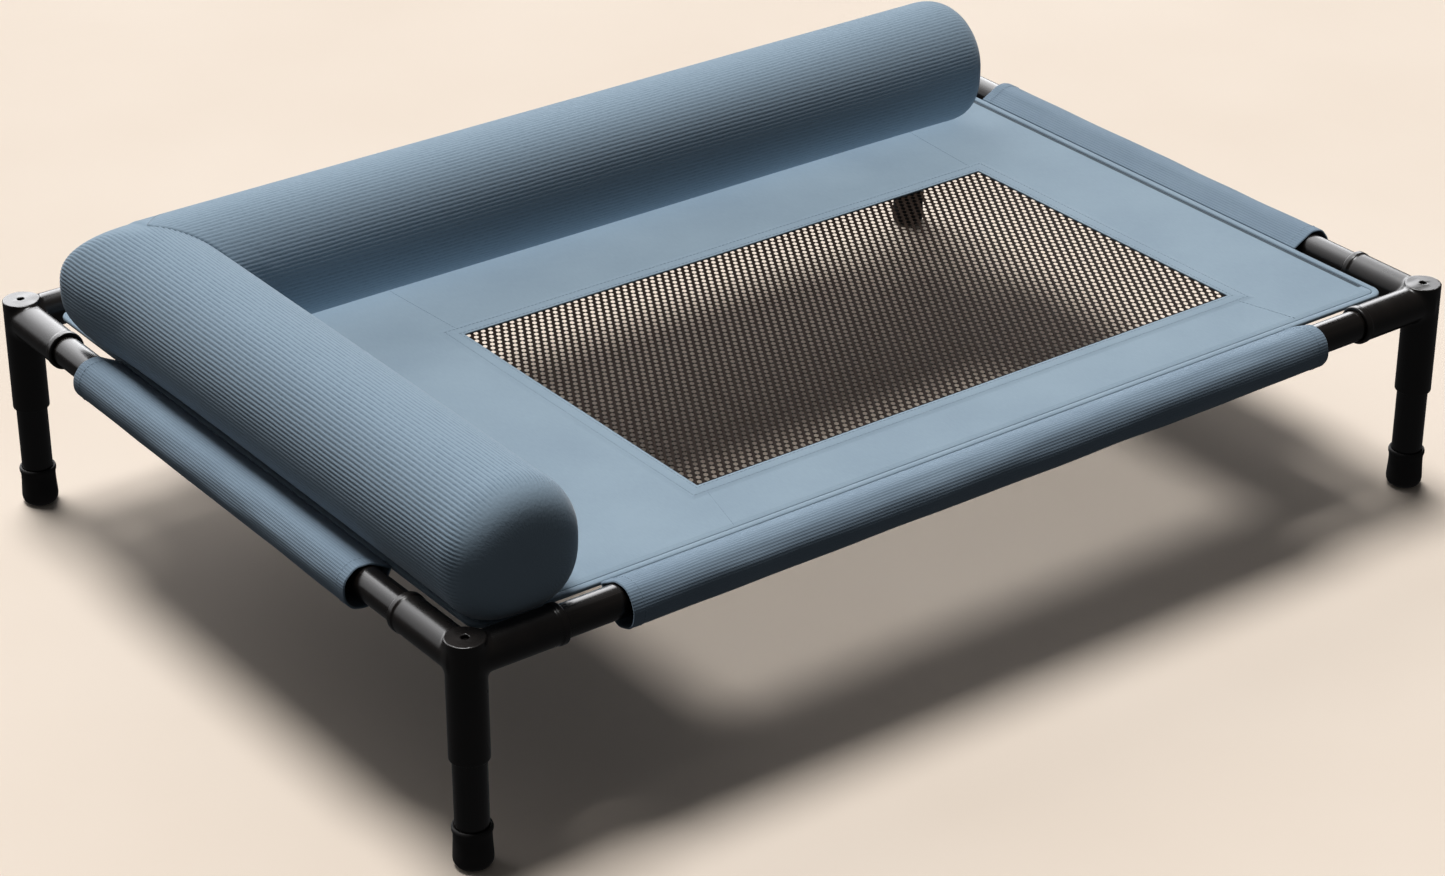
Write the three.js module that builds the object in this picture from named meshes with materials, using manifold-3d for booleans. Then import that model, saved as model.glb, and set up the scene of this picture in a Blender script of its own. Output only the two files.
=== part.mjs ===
// Raised dog bed: a tubular frame on four legs, a fabric deck with a mesh window, and an L-shaped bolster.
// Millimetres. Origin on the ground under the middle of the frame, +X along the long side, +Z up.
import * as THREE from 'three';
import { mergeVertices } from 'three/addons/utils/BufferGeometryUtils.js';
import Module from 'manifold-3d';

const wasm = await Module();
wasm.setup();

// Frame
const LEG_SPAN_X = 1030; // leg centre to leg centre along the long side
const LEG_SPAN_Y = 726; // leg centre to leg centre along the short side
const FRAME_TOP = 205; // ground to the flat tops of the corner fittings
const TUBE_RADIUS = 14;
const TUBE_WALL = 1.5;
const GAP = 0.3; // clearance between pieces that touch
const ROUND_SIDES = 24;
const SMALL_SIDES = 12;
const CORNER_SIDES = 5; // flats in a quarter turn of the deck's outline
const MERGE_DISTANCE = 1e-4;

// Corner fittings
const FITTING_RADIUS = 16.5;
const RAIL_HEIGHT = FRAME_TOP - 18; // axis of the rails
const ARM_LENGTH = 85; // leg centre to the end of an arm
const COLLAR_RADIUS = 17.3;
const COLLAR_WIDTH = 6;
const FITTING_BOTTOM = FRAME_TOP - 107;
const LEG_SOCKET_TOP = 166;
const RAIL_SOCKET_START = 28; // leg centre to the blind end of an arm's socket
const SOCKET_RADIUS = TUBE_RADIUS + GAP;

// Screws and threaded inserts
const SCREW_SHANK_RADIUS = 2;
const SCREW_HEAD_RADIUS = 3;
const SCREW_HEAD_HEIGHT = 3;
const SCREW_LENGTH = 48;
const SCREW_SUNK = 6; // depth of the hole that takes the screw's head
const HEX_SOCKET_RADIUS = 1.4;
const HEX_SOCKET_DEPTH = 1.8;
const INSERT_LENGTH = 28;

// Rubber boots
const BOOT_RADIUS = 16.5;
const BOOT_HEIGHT = 37;
const BOOT_SOLE = 3;
const BOOT_CHAMFER = 2;

// Deck
const DECK_TOP = 193.4;
const DECK_THICKNESS = 1.6;
const HEM_INSET = 23; // rail axis to the outer edge of the rolled hem
const HEM_WIDTH = 7;
const HEM_HEIGHT = 4;
const HEM_CORNER_RADIUS = 14;
const HEM_BEVEL = 1;
const WINDOW = { left: -222, right: 373, front: -259, back: 88 };
const MESH_THICKNESS = 0.8;
const MESH_MARGIN = 12; // mesh hidden under the deck's edge, all round the window

// Sleeves round the rails
const SLEEVE_START = 140; // leg centre to the end of a sleeve
const SLEEVE_RADIUS = 19.5;
const SLEEVE_WALL = 1.2;
const SLEEVE_OUT = 3; // the loose sleeve hangs outwards and down from the rail
const SLEEVE_DOWN = 2.5;

// Bolster
const ROLL_RADIUS = 60;
const ROLL_HEIGHT = 251; // axis of both rolls
const ROLL_SIDES = 28;
const END_ARC_STEPS = 4;
const COVER_WALL = 2.5;
const SIDE_ROLL = { x: -453, front: -357, back: 288, frontEdge: 26, backEdge: 34 };
const BACK_ROLL = { y: 228, right: 455, rightEdge: 30 };
const ZIP_LENGTH = 320;
const ZIP_WIDTH = 7;

const colours = {
  frame: { color: 0x1c1815, roughness: 0.35, metalness: 0.2 },
  rail: { color: 0x211d1a, roughness: 0.35, metalness: 0.5 },
  screw: { color: 0x0e0e10, roughness: 0.4, metalness: 0.9 },
  insert: { color: 0x3a3a3c, roughness: 0.5, metalness: 0 },
  rubber: { color: 0x151413, roughness: 0.8, metalness: 0 },
  deck: { color: 0x94a6b4, roughness: 0.85, metalness: 0 },
  hem: { color: 0x8497a6, roughness: 0.85, metalness: 0 },
  mesh: { color: 0x2a211b, roughness: 0.7, metalness: 0 },
  sleeve: { color: 0x8496a4, roughness: 0.85, metalness: 0 },
  bolster: { color: 0x72859a, roughness: 0.9, metalness: 0 },
  fill: { color: 0xe8e6e0, roughness: 1, metalness: 0 },
  zip: { color: 0x2b3642, roughness: 0.6, metalness: 0 },
};

function material(name) {
  return new THREE.MeshStandardMaterial(colours[name]);
}

function piece(name, geometry, colour, parent) {
  const mesh = new THREE.Mesh(geometry, material(colour));
  mesh.name = name;
  parent.add(mesh);
  return mesh;
}

// A closed geometry as a solid that can be joined and cut.
function solid(geometry) {
  const bare = geometry.index ? geometry.toNonIndexed() : geometry.clone();
  bare.deleteAttribute('normal');
  bare.deleteAttribute('uv');
  const merged = mergeVertices(bare, MERGE_DISTANCE);
  const vertProperties = new Float32Array(merged.attributes.position.array);
  const triVerts = new Uint32Array(merged.index.array);
  return new wasm.Manifold(new wasm.Mesh({ numProp: 3, vertProperties, triVerts }));
}

function geometryOf(body) {
  const mesh = body.getMesh();
  const geometry = new THREE.BufferGeometry();
  geometry.setAttribute('position', new THREE.BufferAttribute(mesh.vertProperties, 3));
  geometry.setIndex(new THREE.BufferAttribute(mesh.triVerts, 1));
  return geometry;
}

// A round bar from one distance to another along a named axis.
function bar(axis, from, to, radius, sides = ROUND_SIDES) {
  const geometry = new THREE.CylinderGeometry(radius, radius, to - from, sides);
  geometry.translate(0, (from + to) / 2, 0);
  if (axis === 'x') geometry.rotateZ(-Math.PI / 2);
  if (axis === 'z') geometry.rotateX(Math.PI / 2);
  return geometry;
}

function block(low, high) {
  const size = high.map((value, i) => value - low[i]);
  const geometry = new THREE.BoxGeometry(...size);
  geometry.translate(...high.map((value, i) => (value + low[i]) / 2));
  return geometry;
}

// A turned piece standing on its axis, +Z up, from a closed outline of [radius, height] points.
function turned(outline, sides) {
  const points = outline.map(([radius, height]) => new THREE.Vector2(radius, height));
  const geometry = new THREE.LatheGeometry(points, sides);
  geometry.rotateX(Math.PI / 2);
  return geometry;
}

// An open tube along X, centred on the origin.
function tube(length, radius, wall) {
  const inner = radius - wall;
  const half = length / 2;
  const outline = [[inner, -half], [radius, -half], [radius, half], [inner, half], [inner, -half]];
  const geometry = turned(outline, ROUND_SIDES);
  geometry.rotateY(Math.PI / 2);
  return geometry;
}

// Three-way corner, standing on the leg's axis, with its arms along +X and +Y.
function cornerFitting() {
  let body = solid(bar('z', FITTING_BOTTOM, FRAME_TOP, FITTING_RADIUS));
  const screwSeat = FRAME_TOP - SCREW_SUNK;
  for (const axis of ['x', 'y']) {
    const lift = (geometry) => solid(geometry.translate(0, 0, RAIL_HEIGHT));
    body = body.add(lift(bar(axis, 0, ARM_LENGTH, FITTING_RADIUS)));
    body = body.add(lift(bar(axis, ARM_LENGTH - COLLAR_WIDTH, ARM_LENGTH, COLLAR_RADIUS)));
    body = body.subtract(lift(bar(axis, RAIL_SOCKET_START, ARM_LENGTH + 1, SOCKET_RADIUS)));
  }
  body = body.subtract(solid(bar('z', FITTING_BOTTOM - 1, LEG_SOCKET_TOP, SOCKET_RADIUS)));
  const headHole = bar('z', screwSeat, FRAME_TOP + 1, SCREW_HEAD_RADIUS + GAP, SMALL_SIDES);
  const shankHole = bar('z', LEG_SOCKET_TOP - 1, FRAME_TOP, SCREW_SHANK_RADIUS + GAP, SMALL_SIDES);
  return geometryOf(body.subtract(solid(headHole)).subtract(solid(shankHole)));
}

function headScrew() {
  const seat = FRAME_TOP - SCREW_SUNK + GAP;
  const top = seat + SCREW_HEAD_HEIGHT;
  return turned([
    [0, seat - SCREW_LENGTH],
    [SCREW_SHANK_RADIUS, seat - SCREW_LENGTH],
    [SCREW_SHANK_RADIUS, seat],
    [SCREW_HEAD_RADIUS, seat],
    [SCREW_HEAD_RADIUS, top],
    [HEX_SOCKET_RADIUS, top],
    [HEX_SOCKET_RADIUS, top - HEX_SOCKET_DEPTH],
    [0, top - HEX_SOCKET_DEPTH],
  ], SMALL_SIDES);
}

// Plug with a threaded hole, pressed into the top of the leg tube.
function legInsert() {
  const hole = SCREW_SHANK_RADIUS + GAP;
  const radius = TUBE_RADIUS - TUBE_WALL - GAP;
  const top = LEG_SOCKET_TOP - GAP;
  const bottom = top - INSERT_LENGTH;
  return turned([[hole, bottom], [radius, bottom], [radius, top], [hole, top], [hole, bottom]], ROUND_SIDES);
}

function legTube() {
  const bottom = BOOT_SOLE + GAP;
  const top = LEG_SOCKET_TOP - GAP;
  const inner = TUBE_RADIUS - TUBE_WALL;
  const outline = [[inner, bottom], [TUBE_RADIUS, bottom], [TUBE_RADIUS, top], [inner, top], [inner, bottom]];
  return turned(outline, ROUND_SIDES);
}

function footBoot() {
  return turned([
    [0, 0],
    [BOOT_RADIUS - BOOT_CHAMFER, 0],
    [BOOT_RADIUS, BOOT_CHAMFER],
    [BOOT_RADIUS, BOOT_HEIGHT],
    [SOCKET_RADIUS, BOOT_HEIGHT],
    [SOCKET_RADIUS, BOOT_SOLE],
    [0, BOOT_SOLE],
  ], ROUND_SIDES);
}

// Rectangle with round corners, centred on the origin.
function roundedRectangle(path, width, depth, radius) {
  const x = width / 2;
  const y = depth / 2;
  path.moveTo(-x + radius, -y);
  path.lineTo(x - radius, -y);
  path.absarc(x - radius, -y + radius, radius, -Math.PI / 2, 0);
  path.lineTo(x, y - radius);
  path.absarc(x - radius, y - radius, radius, 0, Math.PI / 2);
  path.lineTo(-x + radius, y);
  path.absarc(-x + radius, y - radius, radius, Math.PI / 2, Math.PI);
  path.lineTo(-x, -y + radius);
  path.absarc(-x + radius, -y + radius, radius, Math.PI, Math.PI * 1.5);
  return path;
}

// Outline that follows the bed's edge at an inset from the rail axes.
function insetOutline(path, inset) {
  const radius = HEM_CORNER_RADIUS - (inset - HEM_INSET);
  return roundedRectangle(path, LEG_SPAN_X - 2 * inset, LEG_SPAN_Y - 2 * inset, radius);
}

function deckPanel() {
  const outline = insetOutline(new THREE.Shape(), HEM_INSET + HEM_WIDTH + GAP);
  const opening = new THREE.Path();
  opening.moveTo(WINDOW.left, WINDOW.front);
  opening.lineTo(WINDOW.left, WINDOW.back);
  opening.lineTo(WINDOW.right, WINDOW.back);
  opening.lineTo(WINDOW.right, WINDOW.front);
  opening.closePath();
  outline.holes.push(opening);
  const sheet = { depth: DECK_THICKNESS, bevelEnabled: false, curveSegments: CORNER_SIDES };
  const geometry = new THREE.ExtrudeGeometry(outline, sheet);
  return geometry.translate(0, 0, DECK_TOP - DECK_THICKNESS);
}

function meshPanel() {
  const top = DECK_TOP - DECK_THICKNESS - GAP;
  return block(
    [WINDOW.left - MESH_MARGIN, WINDOW.front - MESH_MARGIN, top - MESH_THICKNESS],
    [WINDOW.right + MESH_MARGIN, WINDOW.back + MESH_MARGIN, top],
  );
}

// Rolled edge round the deck, with its long edges rounded off.
function deckHem() {
  const outline = insetOutline(new THREE.Shape(), HEM_INSET + HEM_BEVEL);
  outline.holes.push(insetOutline(new THREE.Path(), HEM_INSET + HEM_WIDTH - HEM_BEVEL));
  const geometry = new THREE.ExtrudeGeometry(outline, {
    depth: HEM_HEIGHT - 2 * HEM_BEVEL,
    bevelThickness: HEM_BEVEL,
    bevelSize: HEM_BEVEL,
    bevelSegments: 1,
    curveSegments: CORNER_SIDES,
  });
  return geometry.translate(0, 0, DECK_TOP - HEM_HEIGHT + HEM_BEVEL);
}

// The hem's top is level with the deck, so that the bolster lies flat across both.
function hemMiddle() {
  return DECK_TOP - HEM_HEIGHT / 2;
}

// Drop shape: round behind the rail, with two straight flanks that meet at the hem.
function dropOutline(path, radius, tip) {
  const reach = Math.hypot(tip.x, tip.y);
  const aim = Math.atan2(tip.y, tip.x);
  const spread = Math.acos(radius / reach);
  path.moveTo(tip.x, tip.y);
  path.lineTo(radius * Math.cos(aim + spread), radius * Math.sin(aim + spread));
  path.absarc(0, 0, radius, aim + spread, aim - spread + 2 * Math.PI);
  path.closePath();
  return path;
}

// A sleeve round a rail that lies along X, with the bed's middle on the +Y side.
function sleeve(length) {
  const tip = new THREE.Vector2(HEM_INSET - 2 * GAP + SLEEVE_OUT, hemMiddle() - RAIL_HEIGHT + SLEEVE_DOWN);
  const innerRadius = SLEEVE_RADIUS - SLEEVE_WALL;
  const outline = dropOutline(new THREE.Shape(), SLEEVE_RADIUS, tip);
  const hollow = tip.clone().multiplyScalar(innerRadius / SLEEVE_RADIUS);
  outline.holes.push(dropOutline(new THREE.Path(), innerRadius, hollow));
  const sheet = { depth: length, bevelEnabled: false, curveSegments: ROUND_SIDES };
  const geometry = new THREE.ExtrudeGeometry(outline, sheet);
  geometry.translate(-SLEEVE_OUT, -SLEEVE_DOWN, -length / 2);
  const turn = new THREE.Matrix4().makeBasis(
    new THREE.Vector3(0, 1, 0),
    new THREE.Vector3(0, 0, 1),
    new THREE.Vector3(1, 0, 0),
  );
  return geometry.applyMatrix4(turn);
}

// Outline of half a roll, from the middle of one end to the middle of the other.
function rollOutline(from, to, radius, startEdge, endEdge) {
  const points = [[0, from]];
  for (let i = 0; i <= END_ARC_STEPS; i += 1) {
    const angle = (Math.PI / 2) * (i / END_ARC_STEPS);
    const across = radius - startEdge + startEdge * Math.sin(angle);
    points.push([across, from + startEdge - startEdge * Math.cos(angle)]);
  }
  for (let i = 0; i <= END_ARC_STEPS; i += 1) {
    const angle = (Math.PI / 2) * (i / END_ARC_STEPS);
    const across = radius - endEdge + endEdge * Math.cos(angle);
    points.push([across, to - endEdge + endEdge * Math.sin(angle)]);
  }
  points.push([0, to]);
  return points;
}

// The space under a roll, taken away so that it lies flat.
function floorUnderRolls(height) {
  return solid(block([-LEG_SPAN_X, -LEG_SPAN_X, 0], [LEG_SPAN_X, LEG_SPAN_X, height]));
}

// The side roll, made smaller all round by an inset.
function sideRoll(inset) {
  const { x, front, back, frontEdge, backEdge } = SIDE_ROLL;
  const radius = ROLL_RADIUS - inset;
  const outline = rollOutline(front + inset, back - inset, radius, frontEdge - inset, backEdge - inset);
  const geometry = turned(outline, ROLL_SIDES);
  geometry.rotateX(-Math.PI / 2);
  geometry.translate(x, 0, ROLL_HEIGHT);
  return solid(geometry).subtract(floorUnderRolls(DECK_TOP + GAP + inset));
}

// The back roll, made smaller all round by an inset; its left end is hollowed to fit round the side roll.
function backRoll(inset) {
  const { y, right, rightEdge } = BACK_ROLL;
  const radius = ROLL_RADIUS - inset;
  const outline = rollOutline(SIDE_ROLL.x, right - inset, radius, COVER_WALL, rightEdge - inset);
  const geometry = turned(outline, ROLL_SIDES);
  geometry.rotateY(Math.PI / 2);
  geometry.translate(0, y, ROLL_HEIGHT);
  const besideSideRoll = solid(geometry).subtract(sideRoll(-GAP - inset));
  return besideSideRoll.subtract(floorUnderRolls(DECK_TOP + GAP + inset));
}

// Opening for the zip in the flat underside of a roll's cover, grown by a margin.
function zipBlock(centre, along, margin) {
  const half = along.map((share) => (share ? ZIP_LENGTH : ZIP_WIDTH) / 2 + margin);
  const bottom = DECK_TOP + GAP;
  return block(
    [centre[0] - half[0], centre[1] - half[1], bottom - margin],
    [centre[0] + half[0], centre[1] + half[1], bottom + COVER_WALL + margin],
  );
}

function bolster(group) {
  const rolls = [
    { name: 'side', shape: sideRoll, centre: [SIDE_ROLL.x, 0], along: [0, 1] },
    { name: 'back', shape: backRoll, centre: [0, BACK_ROLL.y], along: [1, 0] },
  ];
  for (const { name, shape, centre, along } of rolls) {
    const slot = solid(zipBlock(centre, along, GAP));
    const cover = shape(0).subtract(shape(COVER_WALL)).subtract(slot);
    piece(`bolster_${name}_cover`, geometryOf(cover), 'bolster', group);
    piece(`bolster_${name}_fill`, geometryOf(shape(COVER_WALL + GAP)), 'fill', group);
    piece(`bolster_${name}_zip`, zipBlock(centre, along, 0), 'zip', group);
  }
}

function corners(group) {
  const places = [
    { name: 'front_left', x: -1, y: -1, quarter: 0 },
    { name: 'front_right', x: 1, y: -1, quarter: 1 },
    { name: 'back_right', x: 1, y: 1, quarter: 2 },
    { name: 'back_left', x: -1, y: 1, quarter: 3 },
  ];
  for (const { name, x, y, quarter } of places) {
    const corner = new THREE.Group();
    corner.position.set((x * LEG_SPAN_X) / 2, (y * LEG_SPAN_Y) / 2, 0);
    corner.rotation.z = (quarter * Math.PI) / 2;
    piece(`corner_fitting_${name}`, cornerFitting(), 'frame', corner);
    piece(`head_screw_${name}`, headScrew(), 'screw', corner);
    piece(`leg_insert_${name}`, legInsert(), 'insert', corner);
    piece(`leg_tube_${name}`, legTube(), 'rail', corner);
    piece(`foot_boot_${name}`, footBoot(), 'rubber', corner);
    group.add(corner);
  }
}

function sides(group) {
  const places = [
    { name: 'front', along: LEG_SPAN_X, across: LEG_SPAN_Y },
    { name: 'right', along: LEG_SPAN_Y, across: LEG_SPAN_X },
    { name: 'back', along: LEG_SPAN_X, across: LEG_SPAN_Y },
    { name: 'left', along: LEG_SPAN_Y, across: LEG_SPAN_X },
  ];
  places.forEach(({ name, along, across }, quarter) => {
    const side = new THREE.Group();
    side.rotation.z = (quarter * Math.PI) / 2;
    const rail = tube(along - 2 * (RAIL_SOCKET_START + GAP), TUBE_RADIUS, TUBE_WALL);
    const parts = [
      piece(`rail_${name}`, rail, 'rail', side),
      piece(`sleeve_${name}`, sleeve(along - 2 * SLEEVE_START), 'sleeve', side),
    ];
    parts.forEach((part) => part.position.set(0, -across / 2, RAIL_HEIGHT));
    group.add(side);
  });
}

function deck(group) {
  piece('deck_panel', deckPanel(), 'deck', group);
  piece('deck_hem', deckHem(), 'hem', group);
  piece('mesh_panel', meshPanel(), 'mesh', group);
}

const bed = new THREE.Group();
corners(bed);
sides(bed);
deck(bed);
bolster(bed);

export default bed;
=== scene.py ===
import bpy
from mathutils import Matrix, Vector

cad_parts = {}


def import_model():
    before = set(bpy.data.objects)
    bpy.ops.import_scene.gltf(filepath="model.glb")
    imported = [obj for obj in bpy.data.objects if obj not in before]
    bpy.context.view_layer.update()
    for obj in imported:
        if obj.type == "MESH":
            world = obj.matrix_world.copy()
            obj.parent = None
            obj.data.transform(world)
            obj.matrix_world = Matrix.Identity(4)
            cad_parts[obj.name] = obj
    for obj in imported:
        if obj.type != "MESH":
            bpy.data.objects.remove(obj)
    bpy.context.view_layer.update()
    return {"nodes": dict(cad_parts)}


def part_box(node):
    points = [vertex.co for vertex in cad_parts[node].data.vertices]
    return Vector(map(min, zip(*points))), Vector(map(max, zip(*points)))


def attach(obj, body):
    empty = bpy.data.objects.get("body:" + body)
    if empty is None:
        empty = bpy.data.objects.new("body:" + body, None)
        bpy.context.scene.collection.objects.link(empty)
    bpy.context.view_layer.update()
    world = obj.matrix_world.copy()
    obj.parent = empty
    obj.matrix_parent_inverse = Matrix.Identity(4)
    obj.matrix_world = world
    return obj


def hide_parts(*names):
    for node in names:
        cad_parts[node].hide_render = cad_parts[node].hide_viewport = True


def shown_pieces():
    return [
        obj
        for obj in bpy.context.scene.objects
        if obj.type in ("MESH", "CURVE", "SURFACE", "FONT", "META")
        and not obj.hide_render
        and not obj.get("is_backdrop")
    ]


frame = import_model()

# Raised dog bed: glossy black tube frame, blue cloth deck with a mesh window, ribbed L-shaped bolster.
# Sizes are in millimetres unless a name says otherwise; new_piece turns them into metres.
import math

import bmesh
import bpy
import numpy as np
from mathutils import Euler, Vector, noise

MM = 0.001
GAP = 0.3
CORNERS = ("front_left", "front_right", "back_right", "back_left")
SIDES = ("front", "right", "back", "left")

# Tubes and boots
TUBE_WALL = 1.5
TUBE_SIDES = 64
SOCKET_RADIUS = 14.3
TUBE_EDGE = 0.3
SHARP_ANGLE = math.radians(40)
BOOT_PROFILE = [
    (4, 0), (9, 0), (12.4, 0.6), (14.8, 2.4), (16.1, 5), (16.5, 8), (16.2, 14), (15.7, 22), (15.6, 28),
    (15.9, 31), (16.6, 33), (16.7, 35), (16.2, 36.5), (15.2, 37), (SOCKET_RADIUS, 36.6),
    (SOCKET_RADIUS, 3), (4, 3),
]

# Corner fittings
FITTING_RADIUS = 16.5
COLLAR_RADIUS = 17.3
COLLAR_WIDTH = 6
EDGE_RADIUS = 1
FILLET = 4
COLLAR_FILLET = 1.5
RIM_SOFTNESS = 0.6
SOCKET_START = 28
LEG_SOCKET_TOP = 166
HEAD_HOLE_RADIUS = 3.3
HEAD_HOLE_DEPTH = 6
SHANK_HOLE_RADIUS = 2.3
NET_STEP = 1.2
NET_PULLS = 6
LEAST_SLOPE = 0.05

# Screws
SCREW_HEAD_RADIUS = 3
SCREW_HEAD_HEIGHT = 3
SCREW_SHANK_RADIUS = 2
HEX_SOCKET_RADIUS = 1.5
HEX_SOCKET_DEPTH = 1.8
SCREW_EDGE = 0.3
SCREW_SIDES = 24

# Deck
HEM_WIDTH = 7
HEM_CORNER = 14
HEM_CROWN = 0.3
HEM_SQUARENESS = 0.6
HEM_POINTS = 16
DECK_CORNER = HEM_CORNER - HEM_WIDTH - GAP
DECK_BANDS = 24
WINDOW_CORNER = 0.6
WINDOW_MARGIN = 12
WINDOW_HEM = 15
WINDOW_HEM_RISE = 0.25
LIP_WIDTH = 4.8
LIP_DEPTH = 0.7
LIP_END = (3, 0.5)
LIP_END_FADE = 8
SEAM_DEPTH = 0.25
CORNER_STEPS = 9
SIDE_STEPS = 70
SAG = 1.2
WAVE_DEPTH = 0.3

# Mesh window
HOLE_PITCH = 7.68
HOLE_LENGTH = 7.2
HOLE_WIDTH = 4.0
HOLE_TURN = math.radians(60)
STRAND_THICKNESS = 0.8

# Sleeves
SLEEVE_RADIUS = 19.5
SLEEVE_WALL = 1.2
SLEEVE_OUT = 3
SLEEVE_DOWN = 2.5
SLEEVE_POINTS = 72
SLEEVE_HEM = 12
SLEEVE_HEM_EXTRA = 0.5
SLEEVE_EDGE = 0.5
SLEEVE_STEP = 14
SLEEVE_WAVE = 0.9
SLEEVE_WAVE_LENGTH = 60

# Stitches
STITCH_LENGTH = 3.2
STITCH_SPACING = 4.2
STITCH_THICKNESS = 0.55
STITCH_PROUD = 0.1

# Bolster
RIBS = 102
POINTS_PER_RIB = 5
RIB_HEIGHT = 0.75
BACK_RIB_SHARE = 0.5
RIB_MEAN = 0.7
RIB_ROUNDNESS = 0.8
RIB_WANDER = 0.05
RIB_FADE = (5, 0.3)
RING_SPACING = 10
END_DEPTH = 34
END_FULLNESS = 4
END_BULGE = 5
FILL_INSET = 4
SEAM_OVERLAP = 0.6
CORNER_BULGE = 5
CORNER_ROUNDING = 16
CORNER_TURN = 0.985
CORNER_RISE = 0.3
CORNER_RIB_FADE = (-3, 6)
RIDGE_SOFTNESS = (4, 28)
SQUASH = 2.7
POLE_RADIUS = 6
SWELL_LIMIT = 2
SWELL_START = 1.2
FILL_PRESSURE = 4
FILL_STEPS = 20
CLEARANCE = 0.6

# Light: directions point from the bed to the light
SUN_FROM = (0.03, 0.26, 0.965)
SUN_STRENGTH = 3.0
SUN_SOFTNESS = 25
WALL_EDGE = (0.55, 0.63)
WALL_HEIGHT = (0, 0.12)
WALL_SIDE = (-0.75, 0.3)
WALL_DIM_SIDE = 0.15
WALL_STRENGTH = 1.6
WALL_GLOSS_STRENGTH = 6.2
ROOM_STRENGTH = 0.06
FLOOR_COLOUR = "e8dacb"
FLOOR_REACH = 8000

# Camera: place in metres, angles in degrees, lens and sensor in millimetres
CAMERA_PLACE = (-1.7401, -2.3299, 1.6052)
CAMERA_TILT = 28.056
CAMERA_TURN = -36.706
CAMERA_LENS = 89.455
CAMERA_SENSOR = 36


def box(node):
    """Lowest and highest corner of a CAD node, in millimetres."""
    low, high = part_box(node)
    return np.array(low) / MM, np.array(high) / MM


def centre_of(node):
    return sum(box(node)) / 2


# ---------------------------------------------------------------- nodes and finishes


def add(tree, kind, settings=None, inputs=None):
    """Adds a node. An input is a value, or the socket that feeds it."""
    made = tree.nodes.new(kind)
    for name, value in (settings or {}).items():
        setattr(made, name, value)
    for name, value in (inputs or {}).items():
        if isinstance(value, bpy.types.NodeSocket):
            tree.links.new(value, made.inputs[name])
        else:
            made.inputs[name].default_value = value
    return made


def linear(code):
    """An sRGB hex colour as linear red, green, blue and alpha."""
    channels = [int(code[i:i + 2], 16) / 255 for i in (0, 2, 4)]
    return [c / 12.92 if c <= 0.04045 else ((c + 0.055) / 1.055) ** 2.4 for c in channels] + [1]


def finish(name, inputs):
    """A material with one Principled shader. Gives the material, its tree and the shader."""
    material = bpy.data.materials.new(name)
    material.use_nodes = True
    tree = material.node_tree
    tree.nodes.clear()
    shader = add(tree, "ShaderNodeBsdfPrincipled", inputs=inputs)
    add(tree, "ShaderNodeOutputMaterial", inputs={"Surface": shader.outputs["BSDF"]})
    material.diffuse_color = inputs["Base Color"]
    return material, tree, shader


def bump(tree, shader, height, distance, strength=1.0):
    """Relief on a shader; distance is in millimetres."""
    inputs = {"Height": height, "Distance": distance * MM, "Strength": strength}
    made = add(tree, "ShaderNodeBump", inputs=inputs)
    tree.links.new(made.outputs["Normal"], shader.inputs["Normal"])


def stretched_noise(tree, where, scale, detail=2.0, roughness=0.5):
    """Noise on coordinates in metres, with its own scale along each axis, in cells per metre."""
    mapping = add(tree, "ShaderNodeMapping", inputs={"Vector": where, "Scale": scale})
    inputs = {"Vector": mapping.outputs[0], "Scale": 1.0, "Detail": detail, "Roughness": roughness}
    return add(tree, "ShaderNodeTexNoise", inputs=inputs).outputs["Fac"]


def two_tones(tree, shader, factor, dark, light, low=0.3, high=0.7):
    """Colours the shader between two tones by a factor."""
    ramp = add(tree, "ShaderNodeValToRGB", inputs={"Fac": factor})
    ramp.color_ramp.elements[0].position = low
    ramp.color_ramp.elements[0].color = linear(dark)
    ramp.color_ramp.elements[1].position = high
    ramp.color_ramp.elements[1].color = linear(light)
    tree.links.new(ramp.outputs["Color"], shader.inputs["Base Color"])


def roughness_between(tree, shader, factor, low, high):
    inputs = {"Value": factor, "To Min": low, "To Max": high}
    made = add(tree, "ShaderNodeMapRange", inputs=inputs)
    tree.links.new(made.outputs["Result"], shader.inputs["Roughness"])


def surface_uv(tree):
    return add(tree, "ShaderNodeUVMap", {"uv_map": "surface"}).outputs["UV"]


def object_place(tree):
    return add(tree, "ShaderNodeTexCoord").outputs["Object"]


def moulded_nylon():
    """Injection-moulded black nylon: a satin skin with a very fine grain, slightly brown in the light."""
    material, tree, shader = finish("moulded_nylon", {
        "Base Color": linear("171310"), "Roughness": 0.3, "IOR": 1.53,
    })
    where = object_place(tree)
    grain = stretched_noise(tree, where, (900, 900, 900), 3.0)
    bump(tree, shader, grain, 0.05, 0.5)
    patches = stretched_noise(tree, where, (40, 40, 40), 4.0)
    roughness_between(tree, shader, patches, 0.22, 0.36)
    two_tones(tree, shader, patches, "14110f", "1d1815")
    return material


def enamelled_steel():
    """Gloss black enamel on drawn steel tube: faint streaks along the tube break up the reflections."""
    material, tree, shader = finish("enamelled_steel_tube", {
        "Base Color": linear("161210"), "Roughness": 0.24, "IOR": 1.55,
    })
    where = surface_uv(tree)
    streaks = stretched_noise(tree, where, (420, 6, 1), 3.0, 0.6)
    bump(tree, shader, streaks, 0.12, 0.6)
    roughness_between(tree, shader, streaks, 0.16, 0.34)
    two_tones(tree, shader, streaks, "120f0d", "1e1916")
    return material


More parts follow.
